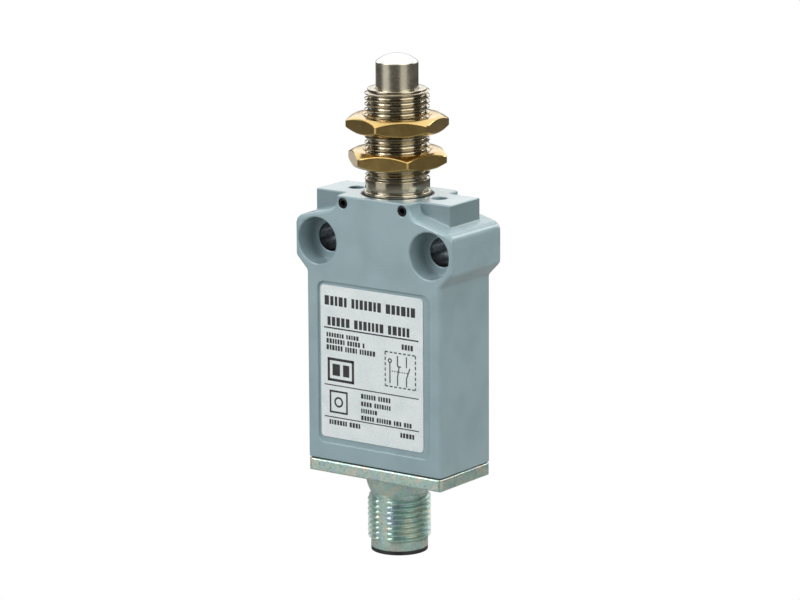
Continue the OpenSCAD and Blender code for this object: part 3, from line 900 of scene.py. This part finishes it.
def coil_shell(radius, wire_r, low, high, turns, sides=10, per_turn=40, dead=0.9):
    """A compression spring of round wire with a closed turn at each end."""
    count = int(turns * per_turn)
    low, high = low + wire_r, high - wire_r
    travelled = np.linspace(0, 1, count + 1) * turns
    flat = 2 * wire_r * 1.02
    middle = (high - low) - 2 * flat * dead
    inner_turns = turns - 2 * dead
    z = np.where(
        travelled < dead, low + flat * travelled,
        np.where(travelled > turns - dead, high - flat * (turns - travelled),
                 low + flat * dead + middle * (travelled - dead) / inner_turns))
    angles = TURN * travelled[:, None]
    tube = np.linspace(0, TURN, sides + 1)
    wire = circle(radius + wire_r * np.cos(tube), angles, z[:, None] + wire_r * np.sin(tube))
    verts, faces = grid_shell(wire)
    ring = sides + 1
    faces.append(tuple(range(sides)))
    faces.append(tuple(count * ring + k for k in reversed(range(sides))))
    return verts, faces


def make_springs():
    """Real coils for the four springs. Those that shorten get a mesh of their own."""
    springs = [
        # name, CAD node, body, outer radius, wire radius, turns
        ("return_coil", "return_spring", "switch", 4.1, 0.4, 7),
        ("slider_coil", "slider_spring", "switch", 2.0, 0.2, 9),
        ("nc_coil", "nc_spring", "nc_contact", 1.4, 0.15, 5),
        ("no_coil", "no_spring", "no_contact", 1.4, 0.15, 4),
    ]
    made = {}
    for name, node, body, outer, wire_r, turns in springs:
        low, high = size_mm(node)
        shell = coil_shell(outer - wire_r, wire_r, low[2], high[2], turns)
        made[name] = new_piece(name, shell, body, SPRING_STEEL, [node], crease=60)
    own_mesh(made["return_coil"])
    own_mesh(made["slider_coil"])
    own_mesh(made["no_coil"])


def make_seals():
    ring = ring_shell(6.375, 0.22, HEAD_TOP - 0.26)
    new_piece("bushing_o_ring", ring, "switch", BLACK_RUBBER, ["bushing_seal"])
    low, (half_x, half_y, top) = size_mm("base_gasket")
    outline = rounded_rectangle(-half_x, -half_y, half_x, half_y, 0.9, 8)
    opening = (0.8084, 0.774)
    loops = [(opening, low[2]), ((1, 1), low[2]), ((1, 1), top), (opening, top), (opening, low[2])]
    sheet = grid_shell(np.array([
        [(x * share[0], y * share[1], z) for x, y in outline + outline[:1]] for share, z in loops
    ]))
    new_piece("gasket_sheet", sheet, "switch", BLACK_RUBBER, ["base_gasket"])


# ---------- Label ----------

LABEL_FRONT = label_low[1]
INK_THICKNESS = 0.012


def make_label():
    """The foil label with softly rounded corners."""
    r, bevel = 0.7, 0.04
    layers = [(0.0, label_high[1]), (0.0, LABEL_FRONT + bevel), (bevel, LABEL_FRONT)]
    verts, faces = [], []
    for inset, y in layers:
        loop = rounded_rectangle(label_low[0] + inset, label_low[2] + inset,
                                 label_high[0] - inset, label_high[2] - inset, r, 6)
        verts += [(x, y, z) for x, z in loop]
    count = len(verts) // len(layers)
    for layer in range(len(layers) - 1):
        for k in range(count):
            a, b = layer * count + k, layer * count + (k + 1) % count
            faces.append((a, b, b + count, a + count))
    faces.append(tuple(reversed(range(count))))
    faces.append(tuple(range(2 * count, 3 * count)))
    new_piece("foil_label", (verts, faces), "switch", FOIL, ["label"], crease=20)


class Print:
    """Ink shapes on the label, as thin raised patches in X and Z."""

    def __init__(self):
        self.shells = []

    def patch(self, outline):
        """A filled convex outline."""
        count = len(outline)
        back, front = LABEL_FRONT + 0.01, LABEL_FRONT - INK_THICKNESS
        verts = [(x, back, z) for x, z in outline] + [(x, front, z) for x, z in outline]
        faces = [tuple(reversed(range(count))), tuple(range(count, 2 * count))]
        faces += [(k, (k + 1) % count, (k + 1) % count + count, k + count) for k in range(count)]
        self.shells.append((verts, faces))

    def bar(self, x0, z0, x1, z1):
        self.patch([(x0, z0), (x1, z0), (x1, z1), (x0, z1)])

    def line(self, x0, z0, x1, z1, width):
        """A straight stroke of some width."""
        along = Vector((x1 - x0, z1 - z0)).normalized() * width / 2
        across = Vector((-along.y, along.x))
        a, b = Vector((x0, z0)), Vector((x1, z1))
        self.patch([a - across, b - across, b + across, a + across])

    def dashed(self, x0, z0, x1, z1, width, dash, space):
        """A broken straight stroke."""
        start, end = Vector((x0, z0)), Vector((x1, z1))
        along = (end - start).normalized()
        length = (end - start).length
        at = 0.0
        while at < length - 0.1:
            self.line(*(start + along * at), *(start + along * min(at + dash, length)), width)
            at += dash + space

    def frame(self, x0, z0, x1, z1, width):
        self.bar(x0, z0, x1, z0 + width)
        self.bar(x0, z1 - width, x1, z1)
        self.bar(x0, z0, x0 + width, z1)
        self.bar(x1 - width, z0, x1, z1)

    def ring(self, x, z, r, width, sides=32):
        for k in range(sides):
            a, b = TURN * k / sides, TURN * (k + 1) / sides
            corners = [(r, a), (r, b), (r - width, b), (r - width, a)]
            self.patch([(x + q * math.cos(t), z + q * math.sin(t)) for q, t in corners])

    def words(self, x0, x1, top, bottom, rng, letter, gap):
        """A row of plain solid blocks in groups, in place of lettering."""
        x = x0
        left_in_word = rng.randint(3, 7)
        while x + letter * 0.6 < x1:
            width = letter * rng.uniform(0.55, 1.0)
            if left_in_word > 0:
                self.bar(x, bottom, x + width, top)
                left_in_word -= 1
                x += width + gap
            else:
                left_in_word = rng.randint(3, 7)
                x += letter * 0.8


def make_print():
    """Rows of plain blocks, rules, two plain marks and a contact diagram: nothing that can be read."""
    rng = random.Random(7)
    ink = Print()
    ink.words(-10.95, 9.7, -10.0, -11.75, rng, 1.0, 0.3)
    ink.words(-10.35, 8.95, -13.9, -15.55, rng, 0.95, 0.3)
    for z, width in ((-16.0, 0.26), (-26.75, 0.2), (-32.8, 0.2)):
        ink.bar(-11.15, z - width / 2, 10.1, z + width / 2)
    small = [
        (-10.6, -2.85, -16.9, -17.7), (-10.6, -1.6, -18.0, -18.9), (-10.6, 0.7, -19.2, -20.15),
        (-2.85, 4.1, -27.5, -28.4), (-2.85, 4.4, -28.95, -29.8), (-2.85, 1.3, -30.3, -31.1),
        (-2.85, 9.3, -31.6, -32.45), (-10.1, -2.85, -33.3, -34.2), (5.95, 9.0, -33.6, -34.5),
        (6.35, 9.5, -17.0, -18.0),
    ]
    for x0, x1, top, bottom in small:
        ink.words(x0, x1, top, bottom, rng, 0.55, 0.18)
    ink.frame(-10.4, -26.0, -4.4, -21.6, 0.5)
    ink.bar(-9.3, -24.9, -7.6, -22.7)
    ink.bar(-6.9, -24.9, -5.5, -22.7)
    ink.frame(-10.0, -32.0, -5.9, -27.7, 0.35)
    ink.ring(-7.95, -29.85, 1.0, 0.35)
    make_diagram(ink)
    new_piece("label_print", join_shells(*ink.shells), "switch", INK, crease=20)


def make_diagram(ink):
    """A plain circuit diagram of a break contact and a make contact in a dashed box."""
    stroke = 0.24
    x0, x1, top, bottom = 2.65, 9.4, -18.8, -25.2
    for z in (top, bottom):
        ink.dashed(x0, z, x1, z, stroke, 0.62, 0.38)
    for x in (x0, x1):
        ink.dashed(x, top, x, bottom, stroke, 0.62, 0.38)
    ink.ring(3.7, -20.4, 0.45, stroke, 20)
    ink.line(3.7, -20.85, 3.7, -24.6, stroke)
    for x, tilt in ((5.4, 0.35), (7.4, 0.75)):
        ink.line(x, -19.3, x, -21.3, stroke)
        ink.line(x, -23.3, x, -24.9, stroke)
        ink.line(x, -23.3, x + tilt, -21.35, stroke)
    ink.line(5.4, -21.3, 6.15, -21.3, stroke)
    ink.dashed(4.1, -22.3, 7.7, -22.3, stroke * 0.8, 0.3, 0.25)


# ---------- Inner parts that keep their CAD shape ----------

def finish_inner_parts():
    """Materials for the CAD nodes that are shown as they are."""
    looks = {
        "insert_seal": RED_RUBBER, "plunger_seal": BLACK_RUBBER, "spring_seat": GROUND,
        "retaining_ring": SPRING_STEEL, "contact_case": IVORY_PLASTIC, "contact_cover": IVORY_PLASTIC,
        "contact_slider": RED_PLASTIC,
    }
    for number in range(1, 5):
        looks[f"connector_pin_{number}"] = PIN_BRASS
    for kind in ("nc", "no"):
        for part in ("bridge", "terminal_left", "terminal_right"):
            looks[f"{kind}_{part}"] = COPPER
    for number, material in enumerate(WIRES, 1):
        looks[f"lead_wire_{number}"] = material
    for name, material in looks.items():
        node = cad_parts[name]
        if not node.material_slots:
            node.data.materials.append(material)
        for place_on_node in node.material_slots:
            place_on_node.material = material


# ---------- Floor, light and camera ----------

# The camera's place, as fitted to the photograph: degrees, metres and millimetres of lens
AZIMUTH, ELEVATION, ROLL = 35.709, 12.641, -0.313
CAMERA_DISTANCE, LENS = 0.76322, 187.54
TARGET_ACROSS, TARGET_HEIGHT = 0.000321, -0.011038


def direction(azimuth, elevation):
    """From the object towards a light or camera."""
    a, e = math.radians(azimuth), math.radians(elevation)
    return Vector((math.sin(a) * math.cos(e), -math.cos(a) * math.cos(e), math.sin(e)))


def softbox(name, from_camera, elevation, width, height, radiance, tint=(1, 1, 1)):
    """A soft panel light a metre away that faces the object, from_camera degrees round from the camera."""
    data = bpy.data.lights.new(name, "AREA")
    data.shape = "RECTANGLE"
    data.size, data.size_y = width, height
    data.energy = radiance * math.pi * width * height
    data.color = tint
    light = new_object(name, data)
    back = direction(AZIMUTH + from_camera, elevation)
    light.location = back + Vector((0, 0, -0.01))
    light.rotation_mode = "QUATERNION"
    light.rotation_quaternion = (-back).to_track_quat("-Z", "Y")
    light.visible_camera = False


def make_lights():
    """Panels placed where the camera sees them reflected in the part's upright faces, tops and dome."""
    softbox("card_left", -63, -14, 0.72, 0.6, 0.78, tint=(1, 1, 0.95))
    softbox("card_right", 35.5, -14, 0.68, 0.6, 0.66, tint=(1, 1, 0.93))
    softbox("key_left", -60, 27, 0.85, 0.72, 1.75, tint=(0.97, 1, 1))
    softbox("key_right", 44, 27, 0.85, 0.72, 2.75, tint=(1, 1, 0.95))
    softbox("strip_left", -68, 29, 0.26, 0.42, 7.0)
    softbox("strip_right", 118, 26, 0.14, 0.5, 4.5)
    softbox("top", 0, 88, 1.6, 1.6, 1.35)
    softbox("backdrop", 180, 31.5, 2.6, 0.8, 1.4)
    softbox("card_behind", -158, -9, 0.24, 0.3, 0.55)


def white_to_camera(owner, out_kind, seen_kind, other_kind):
    """Nodes that give plain white to the camera and the returned shader to all other rays."""
    owner.use_nodes = True
    tree = owner.node_tree
    tree.nodes.clear()
    out = tree.nodes.new(out_kind)
    mix = tree.nodes.new("ShaderNodeMixShader")
    seen = tree.nodes.new(seen_kind)
    seen.inputs["Color"].default_value = (1, 1, 1, 1)
    seen.inputs["Strength"].default_value = 1.0
    other = tree.nodes.new(other_kind)
    path = tree.nodes.new("ShaderNodeLightPath")
    tree.links.new(path.outputs["Is Camera Ray"], mix.inputs[0])
    tree.links.new(other.outputs[0], mix.inputs[1])
    tree.links.new(seen.outputs[0], mix.inputs[2])
    tree.links.new(mix.outputs[0], out.inputs["Surface"])
    return other


def make_world():
    """White behind the object for the camera, and a dim even surround for everything else."""
    scene.world = bpy.data.worlds.new("studio")
    dim = white_to_camera(scene.world, "ShaderNodeOutputWorld", "ShaderNodeBackground",
                          "ShaderNodeBackground")
    dim.inputs["Color"].default_value = (1.0, 0.94, 0.84, 1)
    dim.inputs["Strength"].default_value = 0.11


def make_floor():
    """A pale floor well below the part, evenly white to the camera."""
    half, drop = 6.0, 0.25
    corners = [(-half, -half, 0), (half, -half, 0), (half, half, 0), (-half, half, 0)]
    mesh = bpy.data.meshes.new("floor")
    mesh.from_pydata(corners, [], [(0, 1, 2, 3)])
    floor = new_object("floor", mesh)
    floor.location = (0, 0, -drop)
    material = bpy.data.materials.new("floor_white")
    matt = white_to_camera(material, "ShaderNodeOutputMaterial", "ShaderNodeEmission",
                           "ShaderNodeBsdfDiffuse")
    matt.inputs["Color"].default_value = (0.3, 0.3, 0.3, 1)
    mesh.materials.append(material)


def make_camera():
    """A camera with no shift, where the photograph was taken from."""
    data = bpy.data.cameras.new("camera")
    data.sensor_width = 36
    data.lens = LENS
    camera = new_object("camera", data)
    scene.camera = camera
    a, roll = math.radians(AZIMUTH), math.radians(ROLL)
    back = direction(AZIMUTH, ELEVATION)
    level = Vector((math.cos(a), math.sin(a), 0))
    up = back.cross(level)
    right = level * math.cos(roll) + up * math.sin(roll)
    top = up * math.cos(roll) - level * math.sin(roll)
    target = level * TARGET_ACROSS + Vector((0, 0, TARGET_HEIGHT))
    turn = Matrix((right, top, back)).transposed().to_4x4()
    camera.matrix_world = Matrix.Translation(target + back * CAMERA_DISTANCE) @ turn


make_housing()
make_base_plate()
make_insert()
make_base_screws()
make_set_screws()
make_bushing()
make_nuts()
make_plunger()
make_springs()
make_seals()
make_label()
make_print()
finish_inner_parts()
make_world()
make_floor()
make_lights()
make_camera()
scene.view_settings.view_transform = "Standard"
